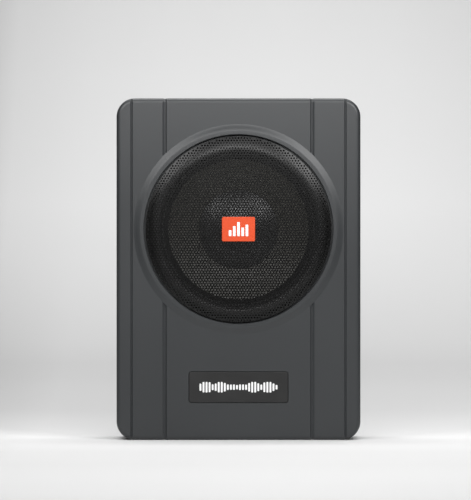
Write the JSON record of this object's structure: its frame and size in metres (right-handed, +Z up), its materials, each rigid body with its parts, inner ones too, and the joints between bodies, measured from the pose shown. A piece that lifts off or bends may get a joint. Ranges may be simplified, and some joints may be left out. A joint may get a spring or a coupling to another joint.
{
  "type": "powered car subwoofer",
  "caption": "Slim powered car subwoofer: rounded flat case, domed round grille over a shallow driver, and a recessed side control panel for its built-in amplifier.",
  "frame": {"origin": "centre of the bounding box, on the end the case stands on", "axes": "+Z up along the long side, -Y out of the grille, +Y out of the mounting face, +X towards the control panel"},
  "size_m": [0.245, 0.072, 0.343],
  "materials": {
    "case_paint": "die-cast, with a dark grey satin powder coat",
    "black_paint": "satin black coat",
    "black_plastic": "fine moulded texture",
    "badge_orange": "satin print with a white motif",
    "rubber": "matt moulded rubber",
    "foam": "closed-cell foam",
    "cone_pulp": "black pressed pulp",
    "spider_cloth": "resin-stiffened woven cloth",
    "zinc_steel": "bright zinc plate",
    "ferrite": "sintered ferrite",
    "copper": "enamelled copper wire",
    "aluminium": "plain rolled",
    "board_green": "solder-masked fibreglass board",
    "nickel": "nickel plate",
    "led_blue": "clear tinted lens",
    "fuse_blue": "translucent moulded head"
  },
  "bodies": {
    "case": {"front_shell": "case_paint", "base_plate": "black_paint", "grille": "black_paint", "basket": "black_paint", "nameplate": "black_plastic", "control_panel": "black_plastic", "phase_switch_housing": "black_plastic", "power_socket": "black_plastic", "high_level_socket": "black_plastic", "remote_jack": "black_plastic", "capacitor_1": "black_plastic", "capacitor_2": "black_plastic", "capacitor_3": "black_plastic", "grille_badge": "badge_orange", "surround": "rubber", "rubber_foot_1": "rubber", "rubber_foot_2": "rubber", "rubber_foot_3": "rubber", "rubber_foot_4": "rubber", "base_gasket": "foam", "mounting_gasket": "foam", "spider": "spider_cloth", "top_plate": "zinc_steel", "yoke": "zinc_steel", "level_pot": "zinc_steel", "lowpass_pot": "zinc_steel", "bass_pot": "zinc_steel", "base_screw_1": "zinc_steel", "base_screw_2": "zinc_steel", "base_screw_3": "zinc_steel", "base_screw_4": "zinc_steel", "base_screw_5": "zinc_steel", "base_screw_6": "zinc_steel", "base_screw_7": "zinc_steel", "base_screw_8": "zinc_steel", "driver_screw_1": "zinc_steel", "driver_screw_2": "zinc_steel", "driver_screw_3": "zinc_steel", "driver_screw_4": "zinc_steel", "driver_screw_5": "zinc_steel", "driver_screw_6": "zinc_steel", "magnet": "ferrite", "toroid_inductor": "copper", "tinsel_lead_1": "copper", "tinsel_lead_2": "copper", "heatsink_bar": "aluminium", "amp_board": "board_green", "terminal_strip": "board_green", "phono_jack_left": "nickel", "phono_jack_right": "nickel", "power_led": "led_blue", "blade_fuse": "fuse_blue"},
    "cone_assembly": {"cone": "cone_pulp", "dust_cap": "cone_pulp", "coil_former": "aluminium", "coil_winding": "copper"},
    "level_knob": {"level_knob": "black_plastic"},
    "lowpass_knob": {"lowpass_knob": "black_plastic"},
    "bass_knob": {"bass_knob": "black_plastic"},
    "phase_tab": {"phase_switch_tab": "nickel"}
  },
  "joints": [
    {"name": "cone_travel", "type": "slide", "parent": "case", "child": "cone_assembly", "axis": [0, -1, 0], "range_m": [-0.006, 0.006], "stiffness_N_per_m": 3500, "deforming": ["surround", "spider", "tinsel_lead_1", "tinsel_lead_2"]},
    {"name": "level_turn", "type": "hinge", "parent": "case", "child": "level_knob", "pos_m": [0.1165, -0.0095, 0.104], "axis": [1, 0, 0], "range_deg": [-140, 140]},
    {"name": "lowpass_turn", "type": "hinge", "parent": "case", "child": "lowpass_knob", "pos_m": [0.1165, -0.0095, 0.084], "axis": [1, 0, 0], "range_deg": [-140, 140]},
    {"name": "bass_turn", "type": "hinge", "parent": "case", "child": "bass_knob", "pos_m": [0.1165, -0.0095, 0.064], "axis": [1, 0, 0], "range_deg": [-140, 140]},
    {"name": "phase_slide", "type": "slide", "parent": "case", "child": "phase_tab", "axis": [0, 0, 1], "range_m": [0, 0.004]}
  ]
}
